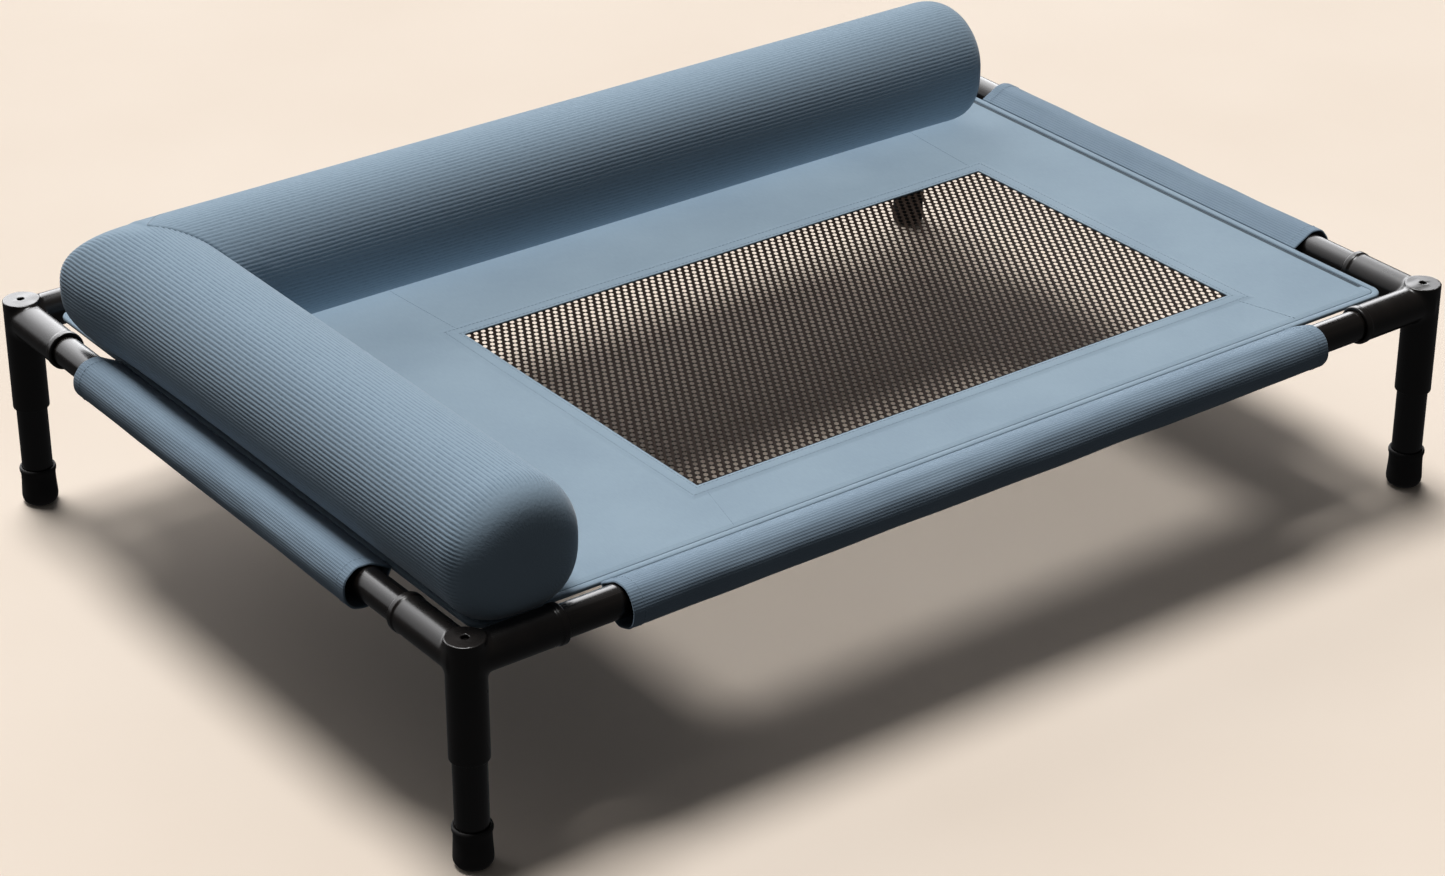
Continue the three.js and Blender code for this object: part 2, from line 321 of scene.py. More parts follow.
def moulded_rubber():
    """Moulded EPDM rubber: matt, nearly black, with a dusty bloom that lifts the colour in patches."""
    material, tree, shader = finish("moulded_rubber", {
        "Base Color": linear("131110"), "Roughness": 0.7, "IOR": 1.52,
    })
    where = object_place(tree)
    bloom = stretched_noise(tree, where, (60, 60, 60), 5.0)
    two_tones(tree, shader, bloom, "100e0d", "201c1a")
    bump(tree, shader, stretched_noise(tree, where, (700, 700, 700), 2.0), 0.08, 0.6)
    return material


def blackened_steel():
    """Black-oxide socket screw: dark metal with soft highlights and fine turning marks."""
    material, tree, shader = finish("black_oxide_steel", {
        "Base Color": linear("3a3836"), "Metallic": 1.0, "Roughness": 0.38,
    })
    marks = stretched_noise(tree, object_place(tree), (600, 600, 2500), 2.0)
    roughness_between(tree, shader, marks, 0.3, 0.48)
    bump(tree, shader, marks, 0.03, 0.4)
    return material


def plain_nylon():
    """Natural grey nylon plug inside the leg: dull moulded plastic with faint flow marks."""
    material, tree, shader = finish("grey_nylon", {
        "Base Color": linear("4b4a49"), "Roughness": 0.5, "IOR": 1.53,
    })
    flow = stretched_noise(tree, object_place(tree), (60, 60, 300), 3.0)
    two_tones(tree, shader, flow, "434241", "555452")
    bump(tree, shader, flow, 0.05, 0.4)
    return material


def bands(tree, where, direction, pitch):
    """Even bands across a coordinate in metres, one each pitch in millimetres, from 0 to 1."""
    bands_per_unit = math.pi / 10 / (pitch * MM)
    settings = {"wave_type": "BANDS", "bands_direction": direction}
    inputs = {"Vector": where, "Scale": bands_per_unit, "Distortion": 0.0}
    return add(tree, "ShaderNodeTexWave", settings, inputs).outputs["Fac"]


def woven_polyester(name, dark, light, cord=None):
    """Plain-woven 600-denier polyester: even matt cloth, its threads drawn at about twice their real
    0.5 mm so that they show close up, with slow, faint changes of tone. A cord width adds fine raised
    cords that run along the cloth."""
    thread_pitch = 1.1
    material, tree, shader = finish(name, {
        "Base Color": linear(light), "Roughness": 0.82, "IOR": 1.45,
        "Sheen Weight": 0.12, "Sheen Roughness": 0.5, "Specular IOR Level": 0.35,
    })
    where = surface_uv(tree)
    over = bands(tree, where, "X", thread_pitch)
    under = bands(tree, where, "Y", thread_pitch)
    weave = add(tree, "ShaderNodeMath", {"operation": "MULTIPLY"}, {0: over, 1: under}).outputs[0]
    slubs = stretched_noise(tree, where, (900, 120, 1), 3.0)
    cloudy = stretched_noise(tree, where, (9, 9, 1), 4.0)
    mixed = add(tree, "ShaderNodeMix", {"data_type": "FLOAT"}, {"Factor": 0.3, "A": cloudy, "B": slubs})
    two_tones(tree, shader, mixed.outputs["Result"], dark, light, 0.35, 0.65)
    if cord:
        cords = bands(tree, where, "X", cord)
        relief = add(tree, "ShaderNodeMath", {"operation": "MULTIPLY_ADD"}, {0: cords, 1: 1.2, 2: weave})
        bump(tree, shader, relief.outputs[0], 0.18, 0.8)
    else:
        bump(tree, shader, weave, 0.18, 0.5)
    return material


def coated_yarn():
    """PVC-coated polyester yarn, heat-bonded into an open lattice: dark brown and nearly matt."""
    material, tree, shader = finish("coated_yarn_mesh", {
        "Base Color": linear("231b16"), "Roughness": 0.75, "IOR": 1.5, "Specular IOR Level": 0.06,
    })
    grain = stretched_noise(tree, object_place(tree), (500, 500, 500), 3.0)
    two_tones(tree, shader, grain, "1a130f", "2b2019")
    bump(tree, shader, grain, 0.1, 0.5)
    return material


def ribbed_chenille():
    """Chenille cloth woven in raised cords, with short tufts along each cord, drawn near 3 mm so that they
    show. Its colour is painted pale on the cord crests as a painted highlight and deep blue in the valleys
    between them as painted shade."""
    material, tree, shader = finish("ribbed_chenille", {
        "Base Color": linear("7d93a5"), "Roughness": 0.88, "IOR": 1.45,
        "Sheen Weight": 0.3, "Sheen Roughness": 0.4, "Specular IOR Level": 0.25,
    })
    where = surface_uv(tree)
    rib = add(tree, "ShaderNodeAttribute", {"attribute_name": "rib"}).outputs["Fac"]
    tufts = stretched_noise(tree, where, (330, 240, 1), 2.0, 0.6)
    cloudy = stretched_noise(tree, where, (7, 5, 1), 3.0)
    shade = add(tree, "ShaderNodeMath", {"operation": "MULTIPLY_ADD"}, {0: tufts, 1: 0.5, 2: rib})
    tone = add(tree, "ShaderNodeMath", {"operation": "MULTIPLY_ADD"}, {
        0: cloudy, 1: 0.25, 2: shade.outputs[0],
    }).outputs[0]
    # Painted highlight on the cord crests and painted shade in the valleys between them: the tone follows the
    # rib attribute.
    two_tones(tree, shader, tone, "4d6174", "8da1b1", 0.4, 1.25)
    bump(tree, shader, tufts, 0.5, 0.6)
    return material


def fibre_filling():
    """Loose polyester fibre: soft, off-white and woolly."""
    material, tree, shader = finish("polyester_fibre", {
        "Base Color": linear("e9e6df"), "Roughness": 0.95, "Sheen Weight": 0.4,
    })
    wool = stretched_noise(tree, object_place(tree), (180, 180, 180), 6.0)
    two_tones(tree, shader, wool, "d9d5cc", "f1efe9")
    bump(tree, shader, wool, 2.0, 0.6)
    return material


def zip_tape():
    """Nylon coil zip on woven tape: dark slate, with teeth about 1.4 mm apart."""
    material, tree, shader = finish("nylon_coil_zip", {
        "Base Color": linear("2b3642"), "Roughness": 0.6, "IOR": 1.53,
    })
    where = object_place(tree)
    teeth = add(tree, "ShaderNodeMath", {"operation": "MULTIPLY"}, {
        0: bands(tree, where, "X", 1.4), 1: bands(tree, where, "Y", 1.4),
    }).outputs[0]
    two_tones(tree, shader, teeth, "1f2831", "3c4957")
    bump(tree, shader, teeth, 0.4, 0.7)
    return material


def sewing_thread():
    """Bonded polyester thread in the cloth's own blue, a little shinier than the cloth."""
    material, tree, shader = finish("sewing_thread", {
        "Base Color": linear("8295a4"), "Roughness": 0.55, "IOR": 1.5,
    })
    twist = stretched_noise(tree, object_place(tree), (800, 800, 800), 2.0)
    two_tones(tree, shader, twist, "74889a", "8fa2b0")
    return material


def plain_floor():
    """Plain warm off-white painted floor."""
    material, tree, shader = finish("floor_paint", {"Base Color": linear(FLOOR_COLOUR), "Roughness": 0.9})
    tone = stretched_noise(tree, object_place(tree), (2, 2, 2), 3.0)
    two_tones(tree, shader, tone, "e3d4c4", FLOOR_COLOUR)
    return material


nylon = moulded_nylon()
steel_tube = enamelled_steel()
rubber = moulded_rubber()
screw_steel = blackened_steel()
insert_nylon = plain_nylon()
deck_cloth = woven_polyester("woven_polyester_deck", "8598a7", "8fa2b0")
# Dark slate cloth for the faces of the seam groove at the deck's ends: painted shade, darker than the
# groove's own shading.
painted_shade_seam_cloth = woven_polyester("painted_shade_seam_slate", "2c3a45", "384853")
sleeve_cloth = woven_polyester("woven_polyester_sleeve", "76899a", "8194a4", cord=2.6)
mesh_yarn = coated_yarn()
chenille = ribbed_chenille()
fibre = fibre_filling()
zip_nylon = zip_tape()
thread = sewing_thread()


# ---------------------------------------------------------------- making meshes


def new_piece(name, points, faces, materials, uv=None, normals=None):
    """A smooth mesh piece from points in millimetres, with its faces turned outwards."""
    mesh = bpy.data.meshes.new(name)
    mesh.from_pydata((np.asarray(points, float) * MM).tolist(), [], faces)
    if uv is not None:
        layer = mesh.uv_layers.new(name="surface")
        layer.data.foreach_set("uv", (np.asarray(uv) * MM).astype(np.float32).ravel())
    for material in materials:
        mesh.materials.append(material)
    work = bmesh.new()
    work.from_mesh(mesh)
    bmesh.ops.recalc_face_normals(work, faces=work.faces)
    work.to_mesh(mesh)
    work.free()
    mesh.shade_smooth()
    if normals is not None:
        mesh.normals_split_custom_set_from_vertices(normals.tolist())
    piece = bpy.data.objects.new(name, mesh)
    bpy.context.scene.collection.objects.link(piece)
    return piece


def travelled(points):
    """Distance along a closed line of points, one value more than there are points."""
    steps = np.linalg.norm(np.roll(points, -1, 0) - points, axis=1)
    return np.concatenate([[0], np.cumsum(steps)])


def shell(rings, ends):
    """Points, faces and UVs over rings of points. The ends are capped, open, or joined to each other."""
    count, sides = rings.shape[:2]
    widest = np.argmax([travelled(ring)[-1] for ring in rings])
    around, along = travelled(rings[widest]), travelled(rings[:, 0])
    i, j = np.meshgrid(np.arange(count if ends == "joined" else count - 1), np.arange(sides), indexing="ij")
    after, beside = (i + 1) % count, (j + 1) % sides
    quads = np.stack([i * sides + j, i * sides + beside, after * sides + beside, after * sides + j], -1)
    u, next_u, v, next_v = around[j], around[j + 1], along[i], along[i + 1]
    uv = np.stack([u, v, next_u, v, next_u, next_v, u, next_v], -1).reshape(-1, 2)
    points, faces = rings.reshape(-1, 3), quads.reshape(-1, 4).tolist()
    if ends == "capped":
        for ring, reach in ((0, -POLE_RADIUS), (count - 1, POLE_RADIUS)):
            v, first = along[ring], ring * sides
            faces += [[first + k, first + (k + 1) % sides, len(points)] for k in range(sides)]
            points = np.vstack([points, rings[ring].mean(0)])
            cap = [[(around[k], v), (around[k + 1], v), (around[k], v + reach)] for k in range(sides)]
            uv = np.vstack([uv, np.reshape(cap, (-1, 2))])
    return points, faces, uv


def turned(profile, sides=TUBE_SIDES):
    """Rings of a turned shape that stands on its axis, from (radius, height) points."""
    angles = np.linspace(0, 2 * math.pi, sides, endpoint=False)
    circle = np.stack([np.cos(angles), np.sin(angles), np.zeros(sides)], -1)
    up = np.array([0, 0, 1])
    return np.array([radius * circle + height * up for radius, height in profile])


def smooth_step(value, start, end):
    share = np.clip((value - start) / (end - start), 0, 1)
    return share * share * (3 - 2 * share)


def mount(piece, body, slot, *nodes):
    """The piece moves with a body and stands for CAD nodes, which are hidden. The slot is not used."""
    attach(piece, body)
    if nodes:
        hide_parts(*nodes)
    return piece


# ---------------------------------------------------------------- geometry trees


def geometry_tree(name, inputs):
    """An empty geometry tree with named inputs. Gives the tree and its input node."""
    tree = bpy.data.node_groups.new(name, "GeometryNodeTree")
    tree.interface.new_socket("Geometry", in_out="INPUT", socket_type="NodeSocketGeometry")
    for label, kind in inputs.items():
        tree.interface.new_socket(label, in_out="INPUT", socket_type="NodeSocket" + kind)
    tree.interface.new_socket("Geometry", in_out="OUTPUT", socket_type="NodeSocketGeometry")
    return tree, add(tree, "NodeGroupInput").outputs


def end_tree(tree, instances, material):
    real = add(tree, "GeometryNodeRealizeInstances", inputs={"Geometry": instances}).outputs[0]
    merged = add(tree, "GeometryNodeMergeByDistance", inputs={"Geometry": real, "Distance": 1e-5}).outputs[0]
    painted = add(tree, "GeometryNodeSetMaterial", inputs={"Geometry": merged, "Material": material})
    add(tree, "NodeGroupOutput", inputs={"Geometry": painted.outputs[0]})


def grown(name, start, tree, values):
    """Runs a geometry tree on a starting mesh and keeps the result as a plain mesh piece."""
    source = bpy.data.objects.new(name + "_start", start)
    bpy.context.scene.collection.objects.link(source)
    modifier = source.modifiers.new("grow", "NODES")
    modifier.node_group = tree
    for item in tree.interface.items_tree:
        if item.in_out == "INPUT" and item.name in values:
            modifier[item.identifier] = values[item.name]
    evaluated = source.evaluated_get(bpy.context.evaluated_depsgraph_get())
    mesh = bpy.data.meshes.new_from_object(evaluated)
    mesh.name = name
    source.modifiers.clear()
    bpy.data.objects.remove(source)
    piece = bpy.data.objects.new(name, mesh)
    bpy.context.scene.collection.objects.link(piece)
    return piece


def lattice_tree():
    """Copies of one lattice cell in rows, every second row moved along by half a cell."""
    tree, given = geometry_tree("lattice", {
        "Cell": "Object", "Columns": "Int", "Rows": "Int", "Pitch": "Float", "Row Pitch": "Float",
        "Centre": "Vector", "Material": "Material",
    })
    sums = {}
    for label, count, pitch in (("X", "Columns", "Pitch"), ("Y", "Rows", "Row Pitch")):
        less = add(tree, "ShaderNodeMath", {"operation": "SUBTRACT"}, {0: given[count], 1: 1.0}).outputs[0]
        product = add(tree, "ShaderNodeMath", {"operation": "MULTIPLY"}, {0: less, 1: given[pitch]})
        sums[label] = product.outputs[0]
    grid = add(tree, "GeometryNodeMeshGrid", inputs={
        "Size X": sums["X"], "Size Y": sums["Y"], "Vertices X": given["Columns"], "Vertices Y": given["Rows"],
    }).outputs["Mesh"]
    index = add(tree, "GeometryNodeInputIndex").outputs[0]
    odd = add(tree, "ShaderNodeMath", {"operation": "MODULO"}, {0: index, 1: given["Rows"]}).outputs[0]
    odd = add(tree, "ShaderNodeMath", {"operation": "MODULO"}, {0: odd, 1: 2.0}).outputs[0]
    shift = add(tree, "ShaderNodeMath", {"operation": "MULTIPLY"}, {0: odd, 1: given["Pitch"]}).outputs[0]
    shift = add(tree, "ShaderNodeMath", {"operation": "MULTIPLY"}, {0: shift, 1: 0.5}).outputs[0]
    along = add(tree, "ShaderNodeCombineXYZ", inputs={"X": shift}).outputs[0]
    offset = add(tree, "ShaderNodeVectorMath", {"operation": "ADD"}, {0: along, 1: given["Centre"]})
    placed = add(tree, "GeometryNodeSetPosition", inputs={
        "Geometry": grid, "Offset": offset.outputs[0],
    }).outputs[0]
    cell = add(tree, "GeometryNodeObjectInfo", inputs={"Object": given["Cell"]}).outputs["Geometry"]
    copies = add(tree, "GeometryNodeInstanceOnPoints", inputs={"Points": placed, "Instance": cell})
    end_tree(tree, copies.outputs[0], given["Material"])
    return tree


def stitch_tree():
    """Stitches laid end to end along the edges of the starting mesh."""
    tree, given = geometry_tree("stitches", {
        "Length": "Float", "Spacing": "Float", "Thickness": "Float", "Material": "Material",
    })
    line = add(tree, "GeometryNodeMeshToCurve", inputs={"Mesh": given["Geometry"]}).outputs[0]
    points = add(tree, "GeometryNodeCurveToPoints", {"mode": "LENGTH"}, {
        "Curve": line, "Length": given["Spacing"],
    }).outputs
    bead = add(tree, "GeometryNodeMeshUVSphere", inputs={
        "Segments": 6, "Rings": 5, "Radius": 0.5,
    }).outputs["Mesh"]
    size = add(tree, "ShaderNodeCombineXYZ", inputs={
        "X": given["Thickness"], "Y": given["Thickness"], "Z": given["Length"],
    }).outputs[0]
    copies = add(tree, "GeometryNodeInstanceOnPoints", inputs={
        "Points": points["Points"], "Instance": bead, "Rotation": points["Rotation"], "Scale": size,
    })
    end_tree(tree, copies.outputs[0], given["Material"])
    return tree


def corner_tree():
    """Copies of one small part on each corner of a rectangle."""
    tree, given = geometry_tree("on_corners", {
        "Part": "Object", "Span X": "Float", "Span Y": "Float", "Height": "Float", "Material": "Material",
    })
    grid = add(tree, "GeometryNodeMeshGrid", inputs={
        "Size X": given["Span X"], "Size Y": given["Span Y"], "Vertices X": 2, "Vertices Y": 2,
    }).outputs["Mesh"]
    lift = add(tree, "ShaderNodeCombineXYZ", inputs={"Z": given["Height"]}).outputs[0]
    placed = add(tree, "GeometryNodeSetPosition", inputs={"Geometry": grid, "Offset": lift}).outputs[0]
    part = add(tree, "GeometryNodeObjectInfo", inputs={"Object": given["Part"]}).outputs["Geometry"]
    copies = add(tree, "GeometryNodeInstanceOnPoints", inputs={"Points": placed, "Instance": part})
    end_tree(tree, copies.outputs[0], given["Material"])
    return tree


# ---------------------------------------------------------------- corner fittings


def blended(a, b, reach):
    """The lower of two distances, rounded off over a reach where they meet."""
    share = np.maximum(reach - np.abs(a - b), 0) / reach
    return np.minimum(a, b) - share * share * reach / 4


def rod(points, axis, start, end, radius, edge, middle=(0, 0, 0)):
    """Distance to a round bar along an axis, its end edges rounded."""
    away = points - np.array(middle, float)
    across = np.linalg.norm(np.delete(away, axis, 1), axis=1) - (radius - edge)
    along = np.abs(away[:, axis] - (start + end) / 2) - ((end - start) / 2 - edge)
    outside = np.hypot(np.maximum(across, 0), np.maximum(along, 0))
    return outside + np.minimum(np.maximum(across, along), 0) - edge


corner_low, corner_high = box("corner_fitting_front_left")
leg_axis = centre_of("leg_tube_front_left")
rail_axis_height = centre_of("rail_front")[2]
arm_length = corner_high[0] - leg_axis[0]


def fitting_distance(points):
    """Distance to the three-way fitting, standing on the leg's axis with arms along +X and +Y."""
    top, bottom = corner_high[2], corner_low[2]
    hub = (0, 0, rail_axis_height)
    body = rod(points, 2, bottom, top, FITTING_RADIUS, EDGE_RADIUS)
    for axis in (0, 1):
        arm = rod(points, axis, 0, arm_length, FITTING_RADIUS, EDGE_RADIUS, hub)
        collar = rod(points, axis, arm_length - COLLAR_WIDTH, arm_length, COLLAR_RADIUS, EDGE_RADIUS, hub)
        body = blended(body, blended(arm, collar, COLLAR_FILLET), FILLET)
    beyond = 2 * EDGE_RADIUS
    hollows = [
        rod(points, 2, bottom - beyond, LEG_SOCKET_TOP, SOCKET_RADIUS, GAP),
        rod(points, 2, top - HEAD_HOLE_DEPTH, top + beyond, HEAD_HOLE_RADIUS, GAP),
        rod(points, 2, LEG_SOCKET_TOP - beyond, top, SHANK_HOLE_RADIUS, GAP),
    ]
    for axis in (0, 1):
        hollows.append(rod(points, axis, SOCKET_START, arm_length + beyond, SOCKET_RADIUS, GAP, hub))
    for hollow in hollows:
        body = -blended(-body, hollow, RIM_SOFTNESS)
    return body


def slope(distance, points, step=0.01):
    """Direction in which a distance grows, at each point."""
    shifts = np.eye(3) * step
    return np.stack([(distance(points + s) - distance(points - s)) / (2 * step) for s in shifts], -1)


def surface_net(distance, low, high, step):
    """Quads over the zero level of a distance, each point pulled onto it. Gives points, faces and
    normals."""
    counts = np.ceil((high - low) / step).astype(int) + 1
    lines = [low[k] + step * np.arange(counts[k]) for k in range(3)]
    grid = np.stack(np.meshgrid(*lines, indexing="ij"), -1)
    inside = (distance(grid.reshape(-1, 3)) < 0).reshape(counts)
    shifts = [(a, b, c) for a in (0, 1) for b in (0, 1) for c in (0, 1)]
    cells = [inside[a:counts[0] - 1 + a, b:counts[1] - 1 + b, c:counts[2] - 1 + c] for a, b, c in shifts]
    filled = np.sum(cells, axis=0)
    crossed = (filled > 0) & (filled < len(shifts))
    number = np.cumsum(crossed).reshape(crossed.shape) - 1
    points = low + step * (np.argwhere(crossed) + 0.5)
    for _ in range(NET_PULLS):
        uphill = slope(distance, points)
        size = np.maximum((uphill ** 2).sum(1, keepdims=True), LEAST_SLOPE)
        points = points - distance(points)[:, None] * uphill / size
    faces = []
    for axis in range(3):
        first, second = [k for k in range(3) if k != axis]
        ends = [np.take(inside, np.arange(counts[axis] - 1) + k, axis) for k in (0, 1)]
        at = np.argwhere(ends[0] != ends[1])
        square = []
        for a, b in ((0, 0), (1, 0), (1, 1), (0, 1)):
            corner = at.copy()
            corner[:, first] -= a
            corner[:, second] -= b
            square.append(number[tuple(corner.T)])
        faces.append(np.stack(square, -1))
    uphill = slope(distance, points)
    return points, np.vstack(faces), uphill / np.linalg.norm(uphill, axis=1, keepdims=True)


def corner_fittings():
    margin = 3 * NET_STEP
    reach = COLLAR_RADIUS + margin
    low = np.array([-reach, -reach, corner_low[2] - margin])
    high = np.array([arm_length + margin, arm_length + margin, corner_high[2] + margin])
    points, faces, normals = surface_net(fitting_distance, low, high, NET_STEP)
    for quarter, corner in enumerate(CORNERS):
        c, s = math.cos(quarter * math.pi / 2), math.sin(quarter * math.pi / 2)
        turn = np.array([[c, s, 0], [-s, c, 0], [0, 0, 1]])
        axis = centre_of("leg_tube_" + corner) * (1, 1, 0)
        turned_points, turned_normals = points @ turn + axis, normals @ turn
        piece = new_piece("fitting_" + corner, turned_points, faces.tolist(), [nylon], None, turned_normals)
        mount(piece, "base", "fitting_plastic", "corner_fitting_" + corner)


# ---------------------------------------------------------------- tubes, boots and screws


def tube_profile(start, end, radius):
    inner, edge = radius - TUBE_WALL, TUBE_EDGE
    return [
        (inner, start), (radius - edge, start), (radius, start + edge), (radius, end - edge),
        (radius - edge, end), (inner, end),
    ]


def legs():
    for corner in CORNERS:
        low, high = box("leg_tube_" + corner)
        axis = centre_of("leg_tube_" + corner) * (1, 1, 0)
        rings = turned(tube_profile(low[2], high[2], (high[0] - low[0]) / 2)) + axis
        points, faces, uv = shell(rings, "joined")
        tube = new_piece("leg_" + corner, points, faces, [steel_tube], uv)
        tube.data.set_sharp_from_angle(angle=SHARP_ANGLE)
        mount(tube, "base", "tube_steel", "leg_tube_" + corner)
        points, faces, uv = shell(turned(BOOT_PROFILE) + axis, "capped")
        boot = new_piece("boot_" + corner, points, faces, [rubber], uv)
        mount(boot, "base", "boot_rubber", "foot_boot_" + corner)


class Side:
    """Where one side of the bed lies: its rail's axis, which way it runs and which way is inwards."""

    def __init__(self, name):
        low, high = box("rail_" + name)
        self.name = name
        self.middle = (low + high) / 2
        self.run = 0 if high[0] - low[0] > high[1] - low[1] else 1
        self.length = (high - low)[self.run]
        self.radius = (high - low)[2] / 2
        self.inwards = -np.sign(self.middle[1 - self.run])

    def place(self, local):
        """Points given as (along, inwards, up) from the middle of the rail's axis."""
        out = np.empty_like(local)
        out[..., self.run] = self.middle[self.run] + local[..., 0]
        out[..., 1 - self.run] = self.middle[1 - self.run] + self.inwards * local[..., 1]
        out[..., 2] = self.middle[2] + local[..., 2]
        return out


def rails():
    for name in SIDES:
        side = Side(name)
        upright = turned(tube_profile(-side.length / 2, side.length / 2, side.radius))
        points, faces, uv = shell(side.place(upright[..., [2, 0, 1]]), "joined")
        tube = new_piece("rail_tube_" + name, points, faces, [steel_tube], uv)
        tube.data.set_sharp_from_angle(angle=SHARP_ANGLE)
        mount(tube, "base", "tube_steel", "rail_" + name)


def socket_screw(top):
    """Socket-head screw standing on its shank's end, its head up, with a six-sided socket."""
    edge = SCREW_EDGE
    seat = top - SCREW_HEAD_HEIGHT
    socket_floor = top - HEX_SOCKET_DEPTH
    profile = [
        (0.6, 0), (SCREW_SHANK_RADIUS - edge, 0), (SCREW_SHANK_RADIUS, edge), (SCREW_SHANK_RADIUS, seat),
        (SCREW_HEAD_RADIUS - edge, seat), (SCREW_HEAD_RADIUS, seat + edge), (SCREW_HEAD_RADIUS, top - edge),
        (SCREW_HEAD_RADIUS - edge, top), (HEX_SOCKET_RADIUS, top), (HEX_SOCKET_RADIUS, socket_floor),
        (0.4, socket_floor),
    ]
    rings = turned(profile, SCREW_SIDES)
    angles = np.linspace(0, 2 * math.pi, SCREW_SIDES, endpoint=False)
    flat = math.pi / 6
    hexagon = math.cos(flat) / np.cos(np.mod(angles, 2 * flat) - flat)
    for ring in (-3, -2):
        rings[ring, :, :2] *= hexagon[:, None]
    points, faces, _ = shell(rings, "capped")
    return points, faces


def head_screws():
    low, high = box("head_screw_front_left")
    points, faces = socket_screw(high[2] - low[2])
    template = new_piece("screw_template", points, faces, [screw_steel])
    template.data.set_sharp_from_angle(angle=SHARP_ANGLE)
    start = bpy.data.meshes.new("corner_points")
    screws = grown("head_screws", start, corner_tree(), {
        "Part": template, "Span X": -2 * leg_axis[0] * MM, "Span Y": -2 * leg_axis[1] * MM,
        "Height": low[2] * MM, "Material": screw_steel,
    })
    bpy.data.objects.remove(template)
    mount(screws, "base", "screw_steel", *["head_screw_" + corner for corner in CORNERS])


# ---------------------------------------------------------------- deck


deck_low, deck_high = box("deck_panel")
hem_low, hem_high = box("deck_hem")
mesh_low, mesh_high = box("mesh_panel")
window_low, window_high = mesh_low + WINDOW_MARGIN, mesh_high - WINDOW_MARGIN
deck_top = deck_high[2]


def sag(x, y):
    """How far the stretched cloth hangs below its edges, with slow waves in it."""
    share_x = 1 - (x / hem_high[0]) ** 2
    share_y = 1 - (y / hem_high[1]) ** 2
    hang = np.clip(share_x, 0, 1) * np.clip(share_y, 0, 1)
    waves = WAVE_DEPTH * np.sin(x / 47 + y / 90) * np.sin(y / 38 - x / 120)
    return hang * (SAG + waves)


def settled(points):
    """The points after the deck's sag."""
    out = np.array(points, float)
    out[..., 2] -= sag(out[..., 0], out[..., 1])
    return out


def outline(low, high, radius):
    """Points round a rectangle with round corners, the same number whatever its size."""
    centres = [
        (high[0] - radius, low[1] + radius), (high[0] - radius, high[1] - radius),
        (low[0] + radius, high[1] - radius), (low[0] + radius, low[1] + radius),
    ]
    arcs = []
    for quarter, centre in enumerate(centres):
        angles = (quarter - 1 + np.linspace(0, 1, CORNER_STEPS)) * math.pi / 2
        arcs.append(np.array(centre) + radius * np.stack([np.cos(angles), np.sin(angles)], -1))
    points = []
    for arc, following in zip(arcs, arcs[1:] + arcs[:1]):
        points += [arc, np.linspace(arc[-1], following[0], SIDE_STEPS + 2)[1:-1]]
    return np.vstack(points)


def level(flat, height):
    """A flat outline at a height, which is one number or one for each point."""
    return np.column_stack([flat, np.broadcast_to(height, len(flat))])


def inset_outline(low, high, inset, radius):
    return outline(low[:2] + inset, high[:2] - inset, max(radius - inset, 0.2))


def deck_outline(inset):
    return inset_outline(deck_low, deck_high, inset, DECK_CORNER)


def window_outline(margin):
    return outline(window_low[:2] - margin, window_high[:2] + margin, WINDOW_CORNER)


def between(outer, inner, height):
    """Rings at one height, spread evenly from one outline to another."""
    return [level(outer + (inner - outer) * share, height) for share in np.linspace(0, 1, DECK_BANDS)]


def deck_rings():
    """Rings from the deck's outer edge, over its top to the window, and back underneath. Also gives
    where the seam along the two ends is deepest."""
    outer, window = deck_outline, window_outline
    edge = outer(0)
    end_share = smooth_step(np.abs(edge[:, 0]), *(deck_high[0] - np.array(LIP_END)))
    along_end = smooth_step(deck_high[1] - DECK_CORNER - np.abs(edge[:, 1]), 0, LIP_END_FADE)
    lip = SEAM_DEPTH + (LIP_DEPTH - SEAM_DEPTH) * end_share * along_end
    bottom = deck_top - (deck_high[2] - deck_low[2])
    rings = [
        level(edge, bottom), level(edge, deck_top - lip - 0.15), level(outer(0.2), deck_top - lip),
        level(outer(LIP_WIDTH - 0.6), deck_top - lip), level(outer(LIP_WIDTH), deck_top - lip * 0.6),
        level(outer(LIP_WIDTH + 0.5), deck_top - lip * 0.12), level(outer(LIP_WIDTH + 1.2), deck_top),
    ]
    rings += between(outer(LIP_WIDTH + 4), window(WINDOW_HEM + 4), deck_top)
    raised = deck_top + WINDOW_HEM_RISE
    rings += [
        level(window(WINDOW_HEM + 0.6), deck_top), level(window(WINDOW_HEM), raised),
        level(window(2), raised), level(window(0.5), raised - 0.05),
        level(window(0.1), raised - 0.25), level(window(0), raised - 0.6),
        level(window(0), bottom),
    ]
    rings += between(window(6), outer(LIP_WIDTH), bottom)
    return settled(np.array(rings)), end_share * along_end


def flat_uv(points, faces):
    """UVs of a flat sheet: its own X and Y."""
    return points[np.concatenate(faces)][:, :2]


def deck_panel():
    rings, lipped = deck_rings()
    points, faces, _ = shell(rings, "joined")
    deck = new_piece("deck_cloth", points, faces, [deck_cloth, painted_shade_seam_cloth], flat_uv(points, faces))
    # The deepest part of the end seams takes the dark slate finish, which is painted shade in the groove.
    index = np.zeros(len(faces), np.int32)
    sides = rings.shape[1]
    for band in range(1, 4):
        index[band * sides:(band + 1) * sides] = lipped > 0.5
    deck.data.polygons.foreach_set("material_index", index)
    return mount(deck, "base", "deck_fabric", "deck_panel")


